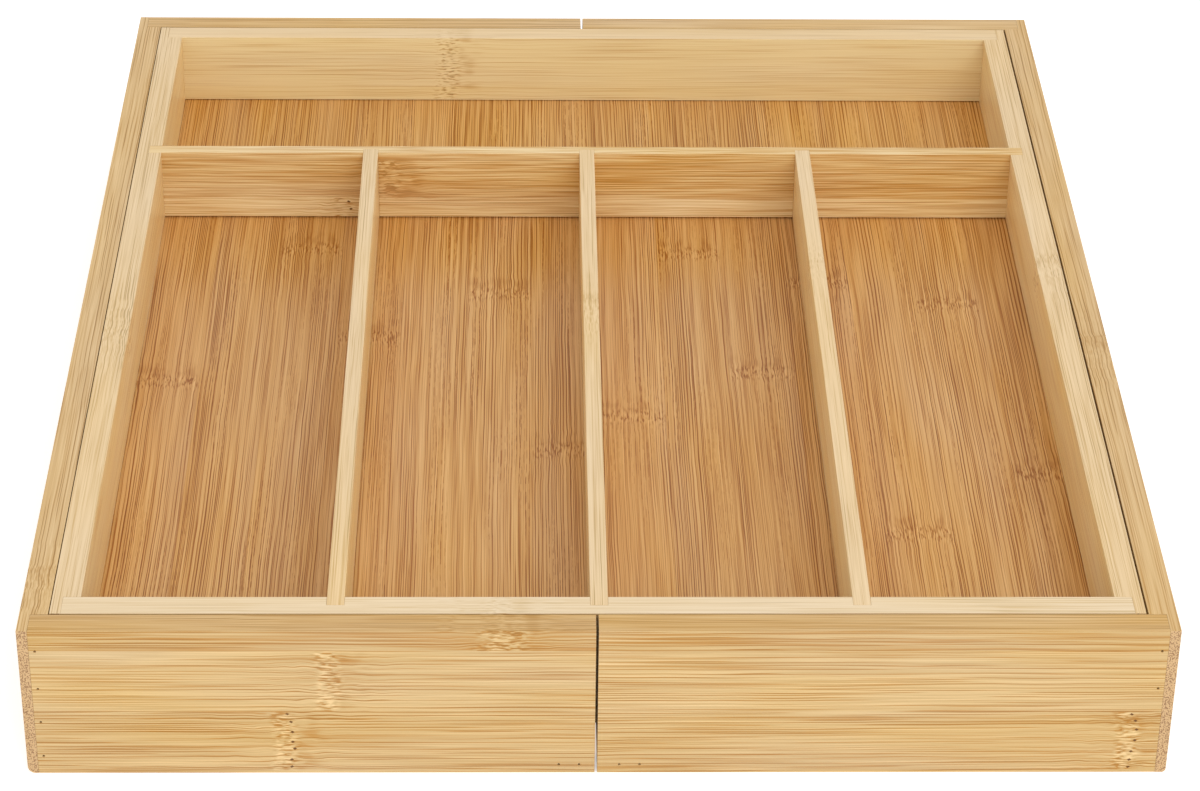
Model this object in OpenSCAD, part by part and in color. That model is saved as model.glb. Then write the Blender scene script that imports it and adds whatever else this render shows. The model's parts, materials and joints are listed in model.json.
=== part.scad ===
// Expandable bamboo tray for a drawer, shown closed: an inner tray with four long
// compartments and one wide one, and two outer half trays that slide out to the sides.
// Millimetres. The origin is on the floor under the middle; +X right, +Y back, +Z up.

/* [Closed tray] */
// Outside width with both half trays pushed in
closed_w = 330; // [320:1:380]
// Outside depth from front to back
tray_d = 390; // [370:1:450]
// Outside height
tray_h = 50.5; // [49:0.5:56]
// How far the seam between the half trays lies left of the middle
seam_offset = 0.8; // [0:0.1:1.5]
// Width of that seam
seam_gap = 0.7; // [0.6:0.1:2]

/* [Boards] */
// Thickness of every wall, rail and end panel
wall_t = 8.2; // [8:0.1:9]
// Thickness of the dividers
divider_t = 5.1; // [4.5:0.1:6]
// Thickness of the three base panels
base_t = 4; // [3:0.5:4.5]
// Outer part of a side board that laps over the end of a front or back board
lip_t = 3.1; // [2.5:0.1:3.3]
// Depth of the grooves that hold the base panels
groove_d = 3; // [2:0.5:3]
// Rounding along the bottom outer edge of the left rail
left_edge_r = 2.3; // [0.5:0.1:2.8]
// Rounding along the bottom outer edge of the right rail
right_edge_r = 1.3; // [0.5:0.1:2.8]

/* [Inner tray] */
// Play between the inner tray and the left rail
left_play = 0.3; // [0.3:0.1:0.8]
// Play between the inner tray and the right rail
right_play = 0.6; // [0.3:0.1:0.8]
// Play between the inner tray and the outer end panels
end_play = 0.4; // [0.3:0.1:0.6]
// Play between the inner walls and the outer base panels below them
floor_play = 0.3; // [0.2:0.1:0.6]
// Depth of the compartments below the rim
well_depth = 25.9; // [22:0.1:28]
// Length of the long compartments
long_well_l = 267; // [240:1:275]
// Depth of the slot that a long divider has in the front wall
front_slot_d = 4; // [3:0.5:4]
// Depth of the slot that a long divider has in the cross divider
cross_slot_d = 3; // [2:0.5:3]
// Depth of the slot that the cross divider has in a side wall
side_slot_d = 4.4; // [3:0.1:5]
// Gap between the dividers and the base panel below them
divider_gap = 0.6; // [0.1:0.1:0.8]
// Play above the inner base panel in its grooves
groove_play = 0.3; // [0.1:0.1:0.4]

/* [Half trays] */
// Underside of the outer base panels above the floor
base_z = 7.2; // [7:0.1:8]
// Width of the stretcher under the free edge of an outer base panel
stretcher_w = 18; // [16:1:30]
// Underside of the stretchers above the floor
stretcher_z = 1; // [0.5:0.1:1.4]

/* [Slide] */
// Travel of each half tray
travel = 82; // [60:1:82]
// Length of a guide strip
guide_l = 60; // [40:1:60]
// Height of a guide strip
guide_h = 4; // [3:0.5:5]
// Height of the guide strips' middle above the floor
guide_z = 36; // [32:0.5:38]
// Depth of a guide strip's seat in its end panel
guide_seat_d = 2; // [1.5:0.5:3]
// How far a guide strip reaches into its slideway in the inner tray
guide_reach = 2.6; // [2:0.1:3]
// Distance from the seam to a guide strip
guide_from_seam = 2; // [2:0.5:5]
// Play above, below and past the tip of a guide strip
guide_play = 0.35; // [0.3:0.05:0.5]
// Extra slideway past a guide strip at both ends of its travel
guide_end_play = 0.5; // [0.4:0.1:1]

/* [Brads] */
// Radius of the headless brads
brad_r = 0.4; // [0.35:0.05:0.6]
// How far the brads are driven below the surface
brad_sink = 0.8; // [0.5:0.1:1.5]
// Length of the brads
brad_l = 20; // [16:1:25]
// Distance from the outside of a side board to its corner brads
brad_edge = 4.9; // [4.4:0.1:6.4]
// Heights of the brads in the left half tray's corners
left_brad_z = [6.2, 18.4, 30.2, 43.4]; // [2:0.1:47]
// Heights of the brads in the right half tray's corners
right_brad_z = [30.2, 43.4]; // [2:0.1:47]
// Heights of the brads in the inner tray's corners
inner_brad_z = [16, 30, 43.4]; // [13:0.1:47]
// Height of the brads that hold the stretchers
stretcher_brad_z = 3; // [2.8:0.1:4]
// Distance from the seam to the first stretcher brad, on the left and on the right
stretcher_brad_edge = [4.5, 6.4]; // [3:0.1:8]
// Distance between the two brads at a stretcher's end
stretcher_brad_pitch = 5.9; // [4:0.1:6]

/* [Hidden] */
$fn = 32;

// Sides and ends: -1 is left or front, 1 is right or back
left = -1;
right = 1;
front = -1;
back = 1;
// Cutters reach this far past the faces that they open
over = 1;

// Long dividers, side by side
dividers_n = 3;
half_w = closed_w / 2;
half_d = tray_d / 2;
// Inner faces of the outer boards
rail_in = half_w - wall_t;
panel_in = half_d - wall_t;
// The inner tray's outside and inside, as distances from the middle
inner_left = rail_in - left_play;
inner_right = rail_in - right_play;
inner_end = panel_in - end_play;
well_left = inner_left - wall_t;
well_right = inner_right - wall_t;
well_end = inner_end - wall_t;
inner_z = base_z + base_t + floor_play;
floor_z = tray_h - well_depth;
cross_y = -well_end + long_well_l;
divider_pitch = (well_left + well_right + divider_t) / (dividers_n + 1);
slideway_d = guide_reach + guide_play;

// Distance of a half tray's free edge from the middle, positive away from it
function seam_edge(side) = seam_gap / 2 - side * seam_offset;
// Distance of the inner tray's outside from the middle
function inner_side(side) = side == left ? inner_left : inner_right;
// Middle of long divider i, counted from the left
function divider_x(i) = -well_left - divider_t / 2 + (i + 1) * divider_pitch;

// A board between two opposite corners
module block(low, high) {
    translate(low) cube(high - low);
}

// Half trays are drawn for the right and the back, and turned over for the others
module on_side(side) {
    if (side == right) children();
    else mirror([1, 0, 0]) children();
}

module on_end(end) {
    if (end == back) children();
    else mirror([0, 1, 0]) children();
}

// A brad, or the hole for one, driven in from the face at distance face_y
module brad_bore(x, z, face_y, sink) {
    translate([x, face_y - sink, z])
        rotate([90, 0, 0])
            cylinder(r = brad_r, h = brad_l - sink + brad_sink);
}

module corner_bores(side, sink) {
    for (z = side == left ? left_brad_z : right_brad_z)
        brad_bore(half_w - brad_edge, z, half_d, sink);
}

module stretcher_bores(side, sink) {
    first = seam_edge(side) + stretcher_brad_edge[side == left ? 0 : 1];
    for (i = [0, 1])
        brad_bore(first + i * stretcher_brad_pitch, stretcher_brad_z, half_d, sink);
}

module inner_corner_bores(side, sink) {
    for (z = inner_brad_z)
        brad_bore(inner_side(side) - brad_edge, z, inner_end, sink);
}

// A guide strip, or its seat
module guide_strip(side) {
    start = seam_edge(side) + guide_from_seam;
    block([start, panel_in - end_play - guide_reach, guide_z - guide_h / 2],
          [start + guide_l, panel_in + guide_seat_d, guide_z + guide_h / 2]);
}

// The closed slideway that a guide strip runs and stops in
module slideway(side) {
    start = seam_edge(side) + guide_from_seam - guide_end_play;
    room = guide_l + travel + 2 * guide_end_play;
    block([start, inner_end - slideway_d, guide_z - guide_h / 2 - guide_play],
          [start + room, inner_end + over, guide_z + guide_h / 2 + guide_play]);
}

// ---- Half trays ----

// The rail's outline, with its bottom outer edge rounded
module rail_outline(edge_r) {
    difference() {
        translate([rail_in, 0]) square([wall_t, tray_h]);
        difference() {
            translate([half_w - edge_r, -over]) square([edge_r + over, edge_r + over]);
            translate([half_w - edge_r, edge_r]) circle(r = edge_r);
        }
    }
}

module side_rail(side) {
    color("#d9b782")
    on_side(side)
    difference() {
        translate([0, half_d, 0])
            rotate([90, 0, 0])
                linear_extrude(height = tray_d)
                    rail_outline(side == left ? left_edge_r : right_edge_r);
        for (end = [front, back])
            on_end(end) {
                block([rail_in - over, panel_in, -over],
                      [half_w - lip_t, half_d + over, tray_h + over]);
                corner_bores(side, 0);
            }
        block([rail_in - over, -half_d, base_z],
              [rail_in + groove_d, half_d, base_z + base_t]);
    }
}

module end_panel(side, end) {
    color("#dcb87e")
    on_side(side)
    on_end(end)
    difference() {
        block([seam_edge(side), panel_in, 0], [half_w - lip_t, half_d, tray_h]);
        block([seam_edge(side) - over, panel_in - over, base_z],
              [half_w, panel_in + groove_d, base_z + base_t]);
        guide_strip(side);
        corner_bores(side, 0);
        stretcher_bores(side, 0);
    }
}

module base_panel(side) {
    color("#c4905a")
    on_side(side)
    block([seam_edge(side), -panel_in - groove_d, base_z],
          [rail_in + groove_d, panel_in + groove_d, base_z + base_t]);
}

module stretcher(side) {
    color("#dcb87e")
    on_side(side)
    difference() {
        block([seam_edge(side), -panel_in, stretcher_z],
              [seam_edge(side) + stretcher_w, panel_in, base_z]);
        for (end = [front, back])
            on_end(end) stretcher_bores(side, 0);
    }
}

module guide(side, end) {
    color("#d2ab74")
    on_side(side)
    on_end(end)
    guide_strip(side);
}

module corner_brads(side) {
    color("#8d8f92")
    on_side(side)
    for (end = [front, back])
        on_end(end) corner_bores(side, brad_sink);
}

module stretcher_brads(side) {
    color("#8d8f92")
    on_side(side)
    for (end = [front, back])
        on_end(end) stretcher_bores(side, brad_sink);
}

// ---- Inner tray ----

// Long divider i, or the slots for it, which are open at the top
module long_board(i, bottom, top) {
    block([divider_x(i) - divider_t / 2, -well_end - front_slot_d, bottom],
          [divider_x(i) + divider_t / 2, cross_y + cross_slot_d, top]);
}

// The cross divider, or the slots for it, which are open at the top
module cross_board(bottom, top) {
    block([-well_left - side_slot_d, cross_y, bottom],
          [well_right + side_slot_d, cross_y + divider_t, top]);
}

module long_divider(i) {
    color("#e6cf9f")
    long_board(i, floor_z + divider_gap, tray_h);
}

module cross_divider() {
    color("#e0bf8a")
    difference() {
        cross_board(floor_z + divider_gap, tray_h);
        for (i = [0 : dividers_n - 1])
            long_board(i, floor_z, tray_h + over);
    }
}

module inner_base_panel() {
    color("#c38d54")
    block([-well_left - groove_d, -well_end - groove_d, floor_z - base_t],
          [well_right + groove_d, well_end + groove_d, floor_z]);
}

module inner_end_wall(end) {
    color("#e7d0a2")
    difference() {
        on_end(end)
        difference() {
            block([-inner_left + lip_t, well_end, inner_z], [inner_right - lip_t, inner_end, tray_h]);
            for (side = [left, right])
                on_side(side) {
                    slideway(side);
                    inner_corner_bores(side, 0);
                }
            block([-inner_left, well_end - over, floor_z - base_t],
                  [inner_right, well_end + groove_d, floor_z + groove_play]);
        }
        if (end == front)
            for (i = [0 : dividers_n - 1])
                long_board(i, floor_z, tray_h + over);
    }
}

module inner_side_wall(side) {
    color("#e7d0a2")
    difference() {
        on_side(side)
        difference() {
            block([inner_side(side) - wall_t, -inner_end, inner_z],
                  [inner_side(side), inner_end, tray_h]);
            for (end = [front, back])
                on_end(end) {
                    block([inner_side(side) - wall_t - over, well_end, inner_z - over],
                          [inner_side(side) - lip_t, inner_end + over, tray_h + over]);
                    inner_corner_bores(side, 0);
                }
            block([inner_side(side) - wall_t - over, -inner_end, floor_z - base_t],
                  [inner_side(side) - wall_t + groove_d, inner_end, floor_z + groove_play]);
        }
        cross_board(floor_z, tray_h + over);
    }
}

module inner_corner_brads() {
    color("#8d8f92")
    for (side = [left, right])
        on_side(side)
        for (end = [front, back])
            on_end(end) inner_corner_bores(side, brad_sink);
}

inner_end_wall(front);  // inner_front_wall
inner_end_wall(back);  // inner_back_wall
inner_side_wall(left);  // inner_left_wall
inner_side_wall(right);  // inner_right_wall
cross_divider();
long_divider(0);  // long_divider_left
long_divider(1);  // long_divider_middle
long_divider(2);  // long_divider_right
inner_base_panel();
inner_corner_brads();
side_rail(left);  // left_side_rail
end_panel(left, front);  // left_front_panel
end_panel(left, back);  // left_back_panel
base_panel(left);  // left_base_panel
stretcher(left);  // left_stretcher
guide(left, front);  // left_front_guide
guide(left, back);  // left_back_guide
corner_brads(left);  // left_corner_brads
stretcher_brads(left);  // left_stretcher_brads
side_rail(right);  // right_side_rail
end_panel(right, front);  // right_front_panel
end_panel(right, back);  // right_back_panel
base_panel(right);  // right_base_panel
stretcher(right);  // right_stretcher
guide(right, front);  // right_front_guide
guide(right, back);  // right_back_guide
corner_brads(right);  // right_corner_brads
stretcher_brads(right);  // right_stretcher_brads
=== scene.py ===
"""The looks of the expandable bamboo drawer tray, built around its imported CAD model."""

import json
import math

import bmesh
import bpy
from mathutils import Matrix, Vector

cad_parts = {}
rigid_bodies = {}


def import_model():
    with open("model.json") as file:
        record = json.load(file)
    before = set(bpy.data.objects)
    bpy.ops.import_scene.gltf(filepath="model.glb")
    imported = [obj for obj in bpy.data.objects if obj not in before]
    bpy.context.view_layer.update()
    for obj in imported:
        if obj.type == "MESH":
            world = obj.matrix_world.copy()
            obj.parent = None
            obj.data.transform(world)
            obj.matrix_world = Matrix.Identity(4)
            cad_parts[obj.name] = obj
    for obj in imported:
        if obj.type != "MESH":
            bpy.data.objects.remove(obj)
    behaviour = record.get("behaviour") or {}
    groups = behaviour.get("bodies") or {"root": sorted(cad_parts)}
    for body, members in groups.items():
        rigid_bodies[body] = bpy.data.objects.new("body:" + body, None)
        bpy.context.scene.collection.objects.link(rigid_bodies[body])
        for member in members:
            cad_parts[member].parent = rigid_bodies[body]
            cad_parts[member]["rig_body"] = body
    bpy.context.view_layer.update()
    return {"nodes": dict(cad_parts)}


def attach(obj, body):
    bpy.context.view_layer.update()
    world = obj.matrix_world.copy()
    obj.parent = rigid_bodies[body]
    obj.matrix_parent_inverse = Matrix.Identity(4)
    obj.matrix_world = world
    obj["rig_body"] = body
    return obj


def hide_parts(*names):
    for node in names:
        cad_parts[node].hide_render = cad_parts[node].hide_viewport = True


MM = 0.001
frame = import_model()

# ---------------------------------------------------------------- camera

CAMERA_AT = Vector((-20.5, -1031.0, 654.6)) * MM
CAMERA_TURN = 1.334  # degrees to the right of straight ahead
CAMERA_DIP = 32.14  # degrees below the horizon
CAMERA_ROLL = 0.77  # degrees anticlockwise, seen from behind the camera
CAMERA_LENS = 109.2  # focal length in millimetres, and below it the sensor's width
CAMERA_SENSOR = 36
CAMERA_SEES = (0.05, 20)  # nearest and farthest distance, in metres


def add_camera():
    data = bpy.data.cameras.new("camera")
    data.lens = CAMERA_LENS
    data.sensor_width = CAMERA_SENSOR
    data.clip_start, data.clip_end = CAMERA_SEES
    camera = bpy.data.objects.new("camera", data)
    bpy.context.scene.collection.objects.link(camera)
    turn = Matrix.Rotation(math.radians(-CAMERA_TURN), 4, "Z")
    dip = Matrix.Rotation(math.radians(90 - CAMERA_DIP), 4, "X")
    roll = Matrix.Rotation(math.radians(CAMERA_ROLL), 4, "Z")
    camera.matrix_world = Matrix.Translation(CAMERA_AT) @ turn @ dip @ roll
    bpy.context.scene.camera = camera


add_camera()

# ---------------------------------------------------------------- shader fields


def linear(colour):
    """An sRGB colour, 0 to 255, as the linear one that shaders take."""
    parts = [c / 255 for c in colour]
    return [c / 12.92 if c <= 0.04045 else ((c + 0.055) / 1.055) ** 2.4 for c in parts] + [1.0]


class Field:
    """A number that varies over the surface, so that shader maths reads as plain maths."""

    def __init__(self, tree, socket):
        self.tree = tree
        self.socket = socket

    def op(self, operation, *others):
        node = self.tree.nodes.new("ShaderNodeMath")
        node.operation = operation
        feed(self.tree, node.inputs[0], self)
        for place, other in enumerate(others, 1):
            feed(self.tree, node.inputs[place], other)
        return Field(self.tree, node.outputs[0])

    def __add__(self, other):
        return self.op("ADD", other)

    def __sub__(self, other):
        return self.op("SUBTRACT", other)

    def __mul__(self, other):
        return self.op("MULTIPLY", other)

    def __truediv__(self, other):
        return self.op("DIVIDE", other)

    def __abs__(self):
        return self.op("ABSOLUTE")

    def floor(self):
        return self.op("FLOOR")

    def at_least(self, other):
        return self.op("MAXIMUM", other)

    def rise(self, low, high):
        """0 up to low, 1 from high on, and smooth in between. High may be under low."""
        node = self.tree.nodes.new("ShaderNodeMapRange")
        node.interpolation_type = "SMOOTHSTEP"
        feed(self.tree, node.inputs["Value"], self)
        node.inputs["From Min"].default_value = min(low, high)
        node.inputs["From Max"].default_value = max(low, high)
        node.inputs["To Min"].default_value = 0 if low < high else 1
        node.inputs["To Max"].default_value = 1 if low < high else 0
        return Field(self.tree, node.outputs["Result"])


def feed(tree, socket, value):
    """Links a field to a socket, or sets the socket to a number."""
    if isinstance(value, Field):
        tree.links.new(value.socket, socket)
    else:
        socket.default_value = value


def vector(tree, x, y, z):
    """Three fields or numbers as one vector socket."""
    node = tree.nodes.new("ShaderNodeCombineXYZ")
    for place, value in enumerate((x, y, z)):
        feed(tree, node.inputs[place], value)
    return node.outputs[0]


def coordinates(tree, kind):
    """The three parts of a texture coordinate: Object, Normal or Generated."""
    place = tree.nodes.new("ShaderNodeTexCoord")
    split = tree.nodes.new("ShaderNodeSeparateXYZ")
    tree.links.new(place.outputs[kind], split.inputs[0])
    return [Field(tree, split.outputs[i]) for i in range(3)]


def noise(tree, x, y, z, detail=2.0):
    """Smooth noise about 0.5, one unit to a blob."""
    node = tree.nodes.new("ShaderNodeTexNoise")
    tree.links.new(vector(tree, x, y, z), node.inputs["Vector"])
    node.inputs["Scale"].default_value = 1
    node.inputs["Detail"].default_value = detail
    return Field(tree, node.outputs["Fac"])


def chance(tree, value):
    """One fixed number from 0 to 1 for each whole number."""
    node = tree.nodes.new("ShaderNodeTexWhiteNoise")
    node.noise_dimensions = "1D"
    feed(tree, node.inputs["W"], value)
    return Field(tree, node.outputs["Value"])


def ramp(tree, field, stops):
    """Colours along a field: stops are (place, sRGB colour)."""
    node = tree.nodes.new("ShaderNodeValToRGB")
    feed(tree, node.inputs[0], field)
    elements = node.color_ramp.elements
    while len(elements) < len(stops):
        elements.new(0.5)
    for element, (place, colour) in zip(elements, stops):
        element.position = place
        element.color = linear(colour)
    return node.outputs[0]


def mix_colour(tree, share, low, high):
    """From low to high as share goes from 0 to 1. Each is a socket or an sRGB colour."""
    node = tree.nodes.new("ShaderNodeMix")
    node.data_type = "RGBA"
    feed(tree, node.inputs[0], share)
    for socket, colour in ((node.inputs[6], low), (node.inputs[7], high)):
        if isinstance(colour, bpy.types.NodeSocket):
            tree.links.new(colour, socket)
        else:
            socket.default_value = linear(colour)
    return node.outputs[2]


# ---------------------------------------------------------------- bamboo

# A look is how one kind of board is drawn. Lengths are in millimetres, and tones go from 0 to 1.
# face, edge: the colours of its dark streaks, its wood and its light fibres, on its face and its edge
# strip: width of the strips that the board is glued from
# upper: a height on the board, and what is added to the tone above it
# pitch, length: how far apart the dark hairlines are, and how long
# lines: how dark the hairlines are
# sparse: how few hairlines show
# fine: contrast of the finest fibres
# light: how light the light fibres are
# bands, clouds: contrast of the broader streaks and of the large patches
# strips: how much the glued strips differ
# broken: how much the hairlines break up into dashes here and there
# knuckle: how strong the knuckles are
# glint: how light the light flecks in a knuckle are
# wave: how far a knuckle bends the fibres round it
# warmth: how much the saturation varies across the board
# far: how much more saturated the board is towards its back end, partly the stem's own colour and partly
# painted warm reflection
OUTER = {
    "face": [(175, 125, 60), (190, 160, 110), (210, 180, 130)],
    "edge": [(195, 148, 82), (216, 178, 120), (230, 195, 140)],
    "strip": 21.4,
    "upper": (43.6, 0.0),
    "pitch": 0.95,
    "length": 90,
    "lines": 0.85,
    "sparse": 0.44,
    "fine": 1.1,
    "light": 0.08,
    "bands": 0.10,
    "clouds": 0.22,
    "strips": 0.10,
    "broken": 0.0,
    "knuckle": 1.0,
    "glint": 0.45,
    "wave": 2.0,
    "warmth": 0.14,
    "far": 0.0,
}
PANEL = dict(OUTER, upper=(43.6, -0.10))
INNER = dict(
    OUTER,
    face=[(220, 175, 110), (243, 216, 158), (250, 225, 172)],
    edge=[(215, 180, 125), (235, 205, 158), (245, 216, 172)],
    lines=0.45,
)
FRONT = dict(
    INNER,
    face=OUTER["face"],
    edge=[(225, 195, 145), (238, 214, 176), (247, 224, 188)],
    lines=0.4,
)
SMOOTH = dict(
    INNER,
    face=[(207, 169, 108), (234, 212, 159), (240, 220, 170)],
    lines=0.22,
    fine=0.75,
    light=0.06,
    bands=0.25,
    clouds=0.4,
    knuckle=1.1,
    glint=0.15,
    wave=1.2,
)
CROSS = dict(
    OUTER,
    face=[(200, 150, 82), (228, 198, 141), (245, 223, 175)],
    edge=[(215, 167, 98), (244, 215, 161), (252, 228, 180)],
    upper=(33.0, -0.18),
    glint=0.2,
    pitch=0.7,
    length=56,
    lines=0.34,
    fine=1.1,
    light=0.04,
    bands=0.14,
    clouds=0.5,
    knuckle=0.8,
)
BASE = dict(
    OUTER,
    face=[(165, 102, 42), (212, 161, 96), (238, 194, 132)],
    edge=[(160, 105, 55), (190, 140, 85), (210, 165, 110)],
    strip=21.7,
    pitch=0.8,
    length=100,
    lines=0.48,
    sparse=0.36,
    fine=0.8,
    light=0.03,
    bands=0.02,
    clouds=0.14,
    strips=0.06,
    broken=0.5,
    knuckle=0.7,
    glint=0.12,
    wave=1.0,
    warmth=0.10,
    # extra saturation at the back end: partly the stem's own colour, partly painted warm reflection
    far=0.03,
)

DRIFT = 2.5  # how far the grain wanders across a board
RIPPLE = 0.6  # how far it ripples on a shorter scale
STRIP_SHIFT = 60  # keeps the patterns of neighbouring strips apart
FIBRE = 0.36  # width of the finest fibres
HAIR = (0.18, 0.04)  # how far from its middle a hairline begins to show, and is at its darkest
SECOND_PITCH = 1.43  # spacing of the second set of hairlines against the first
BOW = 1.6  # how far a knuckle bows along the grain
HALO = (30, 4)  # how far from a knuckle it starts to bend the fibres, and bends them most
STAIN = (8, 1)  # how far from its middle the stain beside a knuckle begins, and is at its strongest
STAIN_AT = 6  # how far past the knuckle the middle of its stain is
PORE_PITCH = 3.3  # how far apart the pores in a knuckle are
PORE = (70, 38, 18)
END_WOOD = (196, 162, 118)
END_DOTS = (128, 92, 62)


class Board:
    """A board's surface in millimetres: u along its grain, v across its wide face and w through it."""

    def __init__(self, tree, grain, seed):
        self.tree = tree
        self.seed = seed
        x, y, z = (part / MM for part in coordinates(tree, "Object"))
        face_x, face_y, face_z = (abs(part) for part in coordinates(tree, "Normal"))
        self.u, self.v, self.w = {"X": (x, z, y), "Y": (y, z, x), "flat": (y, x, z)}[grain]
        self.on_end = (face_x if grain == "X" else face_y).rise(0.6, 0.85)
        self.on_edge = (face_x if grain == "flat" else face_z).rise(0.6, 0.85)
        self.cross = self.v + (self.w - self.v) * self.on_edge
        self.wander = noise(tree, self.u / 150 + seed, self.v / 45, self.w / 45, 1.0) - 0.5

    def strands(self, v, length, width, salt, detail=1.0):
        """Noise drawn out along the grain, of this length and width. Each salt gives another pattern."""
        return noise(self.tree, self.u / length + self.seed * salt, v / width, self.w / width, detail)

    def patches(self, length, width, deep, shift=0.0):
        """Noise in patches of this length along the grain and this width across it."""
        return noise(self.tree, self.u / length + shift, self.v / width, deep, 1.0)


def hairlines(board, cross, pitch, length, sparse, salt):
    """Thin dark fibres side by side, each of which fades in and out along the grain."""
    row = cross / pitch + salt
    cell = row.floor()
    sway = chance(board.tree, cell + board.seed * 11)
    off_middle = abs(row - cell - 0.25 - sway * 0.5) * pitch
    presence = noise(board.tree, board.u / length + sway * 90, cell * 3.7, board.seed * salt, 1.0)
    return off_middle.rise(*HAIR) * presence.rise(sparse, sparse + 0.18)


def widest(fields):
    """The highest of some fields at each spot, or None if there are none."""
    highest = None
    for field in fields:
        highest = field if highest is None else highest.at_least(field)
    return highest


def knuckle_pores(board, along, bow, inside):
    """A line of dark dots across a knuckle, each a little out of line."""
    row = board.v / PORE_PITCH
    jitter = chance(board.tree, row.floor() + along)
    aside = abs(row - row.floor() - 0.3 - jitter * 0.4) * PORE_PITCH
    return (abs(bow - 1.5 - jitter) * 0.7 + aside).rise(0.55, 0.3) * inside


def knuckle_fields(board, knuckles):
    """How deep inside a knuckle each spot is, how near to one, how stained by it, and where the pores are."""
    cores = []
    halos = []
    stains = []
    pores = []
    for along, middle, half, reach, has_pores in knuckles:
        off = (board.v - middle) / half
        inside = abs(off).rise(1.06, 0.88)
        bow = board.u - along + off * off * BOW
        cores.append(inside * abs(bow).rise(reach, reach * 0.3))
        halos.append(inside * abs(bow).rise(*HALO))
        stains.append(inside * abs(bow - STAIN_AT).rise(*STAIN))
        if has_pores:
            pores.append(knuckle_pores(board, along, bow, inside))
    return widest(cores), widest(halos), widest(stains), widest(pores)


def palette(tree, tone, colours):
    """A look's three colours along the tone, carried on a little past both ends."""
    dark, wood, light = colours
    darkest = [c * 0.9 for c in dark]
    lightest = [min(255, c + (c - w) / 2) for c, w in zip(light, wood)]
    return ramp(tree, tone, [(0, darkest), (0.16, dark), (0.5, wood), (0.84, light), (1, lightest)])


def glued_strips(board, look, first_joint):
    """Strips side by side, each cut from its own stem: a number from 0 to 1 for each, and their joints."""
    across = (board.v - first_joint) / look["strip"]
    strip = across.floor()
    shade = chance(board.tree, strip + board.seed * 17)
    joint = abs(across - strip - 0.5).rise(0.488, 0.497)
    return shade, joint


def bent_grain(board, look, shade, halo):
    """v as the fibres have it: it wanders, ripples, starts anew on each strip and waves near a knuckle."""
    ripple = board.patches(24, 7, board.w / 7 + board.seed) - 0.5
    v = board.v + board.wander * DRIFT + ripple * RIPPLE + shade * STRIP_SHIFT
    if halo:
        wave = board.patches(8, 3.2, board.seed * 1.3) - 0.5
        v = v + wave * halo * look["wave"]
    return v


def dark_lines(board, look, v):
    """Two sets of hairlines, stronger in some streaks, and broken into dashes if the look says so."""
    pitch = look["pitch"]
    length = look["length"]
    sparse = look["sparse"]
    cross = board.cross + v - board.v
    lines = hairlines(board, cross, pitch, length, sparse, 2.3)
    lines = lines + hairlines(board, cross, pitch * SECOND_PITCH, length / 2, sparse, 5.9)
    dense = board.strands(v, length * 1.5, 10, 4.7).rise(0.36, 0.60)
    lines = lines * (dense * 0.5 + 0.5)
    if look["broken"]:
        dashes = board.strands(v, 4, pitch / 2, 8.3).rise(0.44, 0.54)
        where = board.patches(90, 9, board.seed, 7.0).rise(0.5, 0.6) * look["broken"]
        lines = lines * (dashes * where * 1.3 - where + 1)
    return lines


def wood_tone(board, look, v, shade, joint, fine, lines):
    """How light each spot is, leaving out the knuckles."""
    length = look["length"]
    light = board.strands(v, length * 0.7, look["pitch"] * 0.8, 7.7).rise(0.56, 0.68)
    bands = board.strands(v, length * 2, 4, 2.9, 2.0)
    clouds = noise(board.tree, board.u / 90, board.v / 16, board.w / 30 + board.seed)
    tone = (fine - 0.5) * look["fine"] + (bands - 0.5) * look["bands"] + (clouds - 0.5) * look["clouds"]
    tone = tone + light * look["light"] - lines * look["lines"] + (shade - 0.5) * look["strips"]
    tone = tone - joint * 0.10 + (0.5 + look["lines"] * 0.12 - look["light"] * 0.2)
    height, change = look["upper"]
    return tone + board.v.rise(height - 0.2, height + 0.2) * change


def knuckle_marks(board, look, v, core, stain):
    """What the knuckles add to the tone, and their dark flecks, which are pits as well."""
    fleck = noise(board.tree, board.u / 3, v / 0.55, board.w / 0.55 + board.seed, 1.0)
    dark_fleck = fleck.rise(0.54, 0.64)
    light_fleck = fleck.rise(0.50, 0.38)
    depth = core * (board.on_edge * -0.7 + 1) * look["knuckle"]
    patch = board.patches(8, 3, board.seed * 1.9).rise(0.42, 0.66) * look["knuckle"]
    tone = depth * (light_fleck * look["glint"] - dark_fleck * 0.45) - stain * patch * 0.18
    return tone, core * dark_fleck


def wood_colour(board, look, v, tone):
    """The face's or the edge's colour for each tone, a little more saturated in some streaks and towards the
    back end, where the extra saturation is partly painted warm reflection.
    """
    face = palette(board.tree, tone, look["face"])
    edge = palette(board.tree, tone, look["edge"])
    warmth = board.tree.nodes.new("ShaderNodeHueSaturation")
    drawn = (board.strands(v, 90, 14, 6.1) - 0.5) * look["warmth"] * 2 + 1
    # More saturated towards the back end: partly the stem's own colour, partly painted warm reflection.
    feed(board.tree, warmth.inputs["Saturation"], drawn + board.u.rise(30, 85) * look["far"])
    board.tree.links.new(mix_colour(board.tree, board.on_edge, face, edge), warmth.inputs["Color"])
    return warmth.outputs[0]


def end_grain(board):
    """Fibre bundles cut across, seen as dots."""
    dots = noise(board.tree, board.u / 12, board.v / 0.4, board.w / 0.4 + board.seed, 0.0).rise(0.50, 0.62)
    return mix_colour(board.tree, dots * 0.8, END_WOOD, END_DOTS)


def wood_bump(tree, relief):
    """Slight relief: the hairlines and the pits in the knuckles lie a little deeper than the wood."""
    bump = tree.nodes.new("ShaderNodeBump")
    bump.inputs["Strength"].default_value = 0.4
    bump.inputs["Distance"].default_value = 0.04 * MM
    feed(tree, bump.inputs["Height"], relief)
    return bump.outputs[0]


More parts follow.
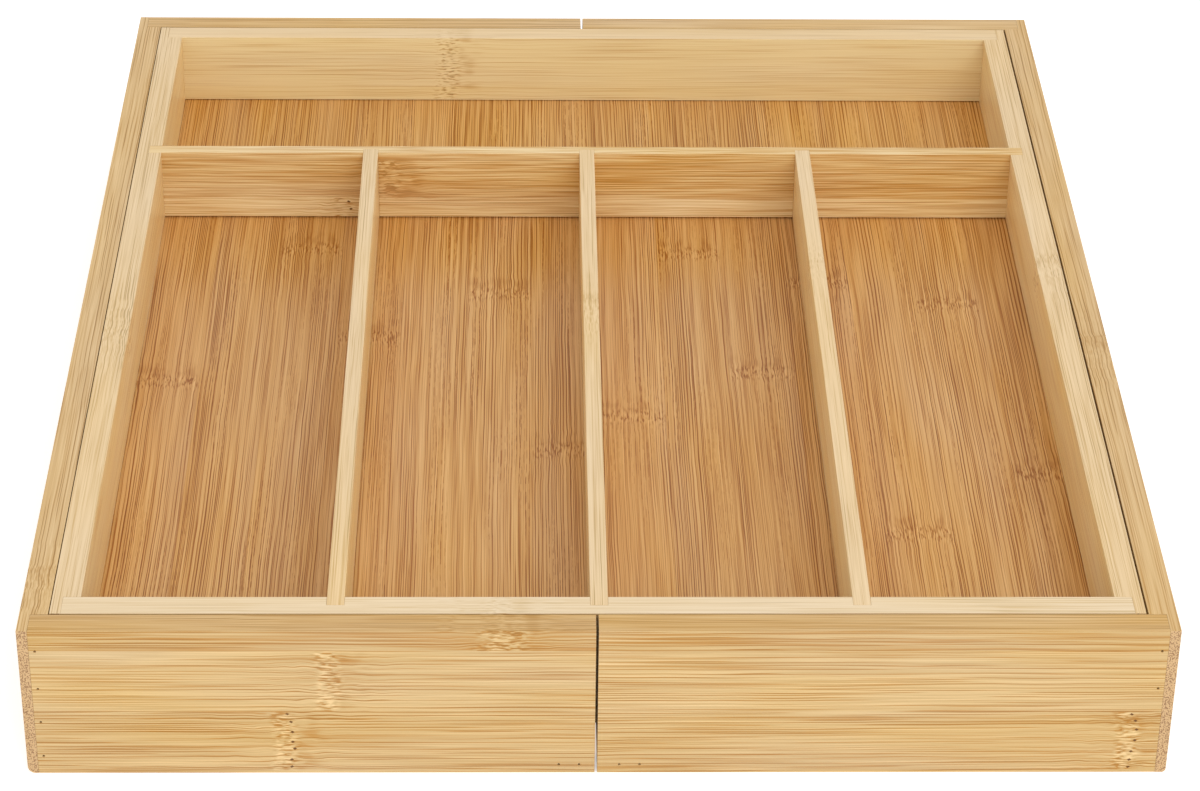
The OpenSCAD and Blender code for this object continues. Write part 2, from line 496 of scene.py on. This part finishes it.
def bamboo(name, grain, look, seed, first_joint, knuckles):
    """A board's material. grain is its fibres' axis, on a standing board or, as 'flat', on a lying one.
    Each knuckle is: where along the grain, its middle and half its width across it, its reach along it,
    and whether it has pores."""
    material = bpy.data.materials.new(name)
    material.use_nodes = True
    tree = material.node_tree
    shader = tree.nodes["Principled BSDF"]
    board = Board(tree, grain, seed)

    core, halo, stain, pores = knuckle_fields(board, knuckles)
    shade, joint = glued_strips(board, look, first_joint)
    v = bent_grain(board, look, shade, halo)
    fine = board.strands(v, look["length"] / 2, FIBRE, 3.1)
    lines = dark_lines(board, look, v)
    tone = wood_tone(board, look, v, shade, joint, fine, lines)
    relief = fine * 0.6 - lines
    if knuckles:
        marks, pits = knuckle_marks(board, look, v, core, stain)
        tone = tone + marks
        relief = relief - pits
    if pores:
        tone = tone - pores * 1.2

    colour = wood_colour(board, look, v, tone)
    if pores:
        colour = mix_colour(tree, pores * 0.8, colour, PORE)
    colour = mix_colour(tree, board.on_end, colour, end_grain(board))
    tree.links.new(colour, shader.inputs["Base Color"])
    feed(tree, shader.inputs["Roughness"], (fine - 0.5) * 0.12 + lines * 0.1 + board.on_end * 0.3 + 0.32)
    shader.inputs["Specular IOR Level"].default_value = 0.28
    tree.links.new(wood_bump(tree, relief), shader.inputs["Normal"])
    return material


STEEL = (88, 82, 76)
TARNISHED = (52, 44, 38)


def brad_steel():
    """Dull steel wire, tarnished in patches."""
    material = bpy.data.materials.new("brad_steel_wire")
    material.use_nodes = True
    tree = material.node_tree
    shader = tree.nodes["Principled BSDF"]
    x, y, z = (part / MM for part in coordinates(tree, "Object"))
    tarnish = noise(tree, x / 0.5, y / 2, z / 0.5)
    colour = ramp(tree, tarnish, [(0.3, STEEL), (0.7, TARNISHED)])
    tree.links.new(colour, shader.inputs["Base Color"])
    feed(tree, shader.inputs["Roughness"], tarnish * 0.3 + 0.35)
    shader.inputs["Metallic"].default_value = 1
    return material


# ---------------------------------------------------------------- boards

EASE = 0.16 * MM  # rounding of the boards' sawn and sanded edges
SAME = 0.001 * MM  # corners nearer than this are one corner
FLAT = math.radians(0.5)  # faces that meet at less than this are one face
SHARP = math.radians(40)  # edges that turn by more than this are rounded
SHORT = 0.2 * MM  # edges shorter than this stay as they are
CREASE = math.radians(50)  # edges that turn by more than this aren't shaded smooth


def eased(source, name):
    """A copy of a board's mesh with its edges rounded."""
    mesh = bpy.data.meshes.new(name)
    shape = bmesh.new()
    shape.from_mesh(source)
    bmesh.ops.remove_doubles(shape, verts=shape.verts, dist=SAME)
    bmesh.ops.dissolve_limit(
        shape, angle_limit=FLAT, verts=shape.verts, edges=shape.edges, use_dissolve_boundaries=False
    )
    corners = [e for e in shape.edges if len(e.link_faces) == 2 and e.calc_face_angle(0) > SHARP]
    bmesh.ops.bevel(
        shape,
        geom=[e for e in corners if e.calc_length() > SHORT],
        offset=EASE,
        offset_type="OFFSET",
        segments=3,
        profile=0.5,
        affect="EDGES",
        clamp_overlap=True,
    )
    shape.to_mesh(mesh)
    shape.free()
    for face in mesh.polygons:
        face.use_smooth = True
    mesh.set_sharp_from_angle(angle=CREASE)
    return mesh


def add_board(node, body, material):
    """The board's visual piece, which replaces its CAD node."""
    mesh = eased(frame["nodes"][node].data, node + "_board")
    mesh.materials.append(material)
    piece = bpy.data.objects.new(node + "_board", mesh)
    bpy.context.scene.collection.objects.link(piece)
    weighted = piece.modifiers.new("flat faces", "WEIGHTED_NORMAL")
    weighted.keep_sharp = True
    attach(piece, body)
    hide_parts(node)


# Knuckles where the stems' joints were, as bamboo() takes them. The base panel has one on most strips:
# how far back it is, strip by strip from the left
BASE_STRIP = BASE["strip"]
BASE_FIRST = -138.7  # middle of the leftmost strip
BASE_KNUCKLES = [
    (along, BASE_FIRST + row * BASE_STRIP, 10.8, 6, False)
    for row, along in enumerate((-20, None, 67, 8, None, 37, -61, -41, 64, -14, 45, -108, 30, -75))
    if along is not None
]
LEFT_FRONT_KNUCKLES = [(-77, 32.9, 10.6, 5, False), (-90, 11.5, 10.6, 5, True), (-27, 48, 4.6, 10, False)]
# Each board: the axis of its grain, its look, a seed, its first strip joint and its knuckles
BOARDS = {
    "inner_front_wall": ("X", FRONT, 1, 9, [(-30, 45, 8, 5, False)]),
    "inner_back_wall": ("X", SMOOTH, 2, 9, [(-50, 40, 15, 6, False)]),
    "inner_left_wall": ("Y", INNER, 3, 9, [(-32, 47, 6, 8, False)]),
    "inner_right_wall": ("Y", INNER, 4, 9, [(10, 47, 6, 8, False)]),
    "cross_divider": ("X", CROSS, 5, 11.6, [(-69, 40, 8, 6, False), (-85, 29, 4, 5, True)]),
    "long_divider_left": ("Y", INNER, 6, 9, ()),
    "long_divider_middle": ("Y", INNER, 7, 9, [(-17, 47, 6, 8, False)]),
    "long_divider_right": ("Y", INNER, 8, 9, [(12, 47, 6, 8, False)]),
    "inner_base_panel": ("flat", BASE, 9, 2.3, BASE_KNUCKLES),
    "left_side_rail": ("Y", OUTER, 10, 0.8, [(-170, 45, 8, 12, False)]),
    "left_front_panel": ("X", PANEL, 11, 0.8, LEFT_FRONT_KNUCKLES),
    "left_back_panel": ("X", OUTER, 12, 0.8, [(-90, 11.5, 10.6, 5, False)]),
    "left_base_panel": ("flat", BASE, 13, 2.3, [(-40, -84, 10.8, 6, False), (90, -40, 10.8, 6, False)]),
    "left_stretcher": ("Y", OUTER, 14, 0.8, ()),
    "left_front_guide": ("X", OUTER, 15, 0.8, ()),
    "left_back_guide": ("X", OUTER, 16, 0.8, ()),
    "right_side_rail": ("Y", OUTER, 17, 0.8, [(-42, 45, 8, 8, False)]),
    "right_front_panel": ("X", PANEL, 18, 0.8, [(153, 11.5, 10.6, 5, True)]),
    "right_back_panel": ("X", OUTER, 19, 0.8, [(70, 32.9, 10.6, 5, False)]),
    "right_base_panel": ("flat", BASE, 20, 2.3, [(20, 45, 10.8, 6, False), (-110, 89, 10.8, 6, False)]),
    "right_stretcher": ("Y", OUTER, 21, 0.8, ()),
    "right_front_guide": ("X", OUTER, 22, 0.8, ()),
    "right_back_guide": ("X", OUTER, 23, 0.8, ()),
}

for node, (grain, look, seed, first_joint, knuckles) in BOARDS.items():
    wood = bamboo(node + "_bamboo", grain, look, seed, first_joint, knuckles)
    add_board(node, frame["nodes"][node]["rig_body"], wood)

steel = brad_steel()
for node, piece in frame["nodes"].items():
    if node not in BOARDS:
        piece.data.materials[0] = steel

# ---------------------------------------------------------------- floor and light


def add_floor():
    """White paper that glows a little, so that it stays white in the tray's shade."""
    bpy.ops.mesh.primitive_plane_add(size=8, location=(0, 0, 0))
    floor = bpy.context.object
    floor.name = "floor"
    material = bpy.data.materials.new("white_paper")
    material.use_nodes = True
    shader = material.node_tree.nodes["Principled BSDF"]
    shader.inputs["Base Color"].default_value = (0.9, 0.9, 0.9, 1)
    shader.inputs["Roughness"].default_value = 0.9
    shader.inputs["Specular IOR Level"].default_value = 0.1
    shader.inputs["Emission Color"].default_value = (1, 1, 1, 1)
    shader.inputs["Emission Strength"].default_value = 0.45
    floor.data.materials.append(material)


def add_softbox(name, place, aim, size, watts):
    """A rectangular light of this size in metres, turned towards a point."""
    data = bpy.data.lights.new(name, "AREA")
    data.shape = "RECTANGLE"
    data.size, data.size_y = size
    data.energy = watts
    light = bpy.data.objects.new(name, data)
    bpy.context.scene.collection.objects.link(light)
    light.location = place
    light.rotation_euler = (Vector(aim) - Vector(place)).to_track_quat("-Z", "Y").to_euler()


def light_room():
    """A white dome, brightest low down, in front and on the right, and a soft key light."""
    world = bpy.data.worlds.new("studio")
    world.use_nodes = True
    tree = world.node_tree
    right, back, up = coordinates(tree, "Generated")
    background = tree.nodes["Background"]
    background.inputs["Color"].default_value = (1, 1, 1, 1)
    feed(tree, background.inputs["Strength"], right * 0.07 - back * 0.15 - up * 0.40 + 1.09)
    bpy.context.scene.world = world
    add_softbox("key", place=(0.6, -1.8, 1.5), aim=(0, 0, 0.02), size=(1.6, 1.0), watts=16)


add_floor()
light_room()
bpy.context.scene.view_settings.view_transform = "Standard"
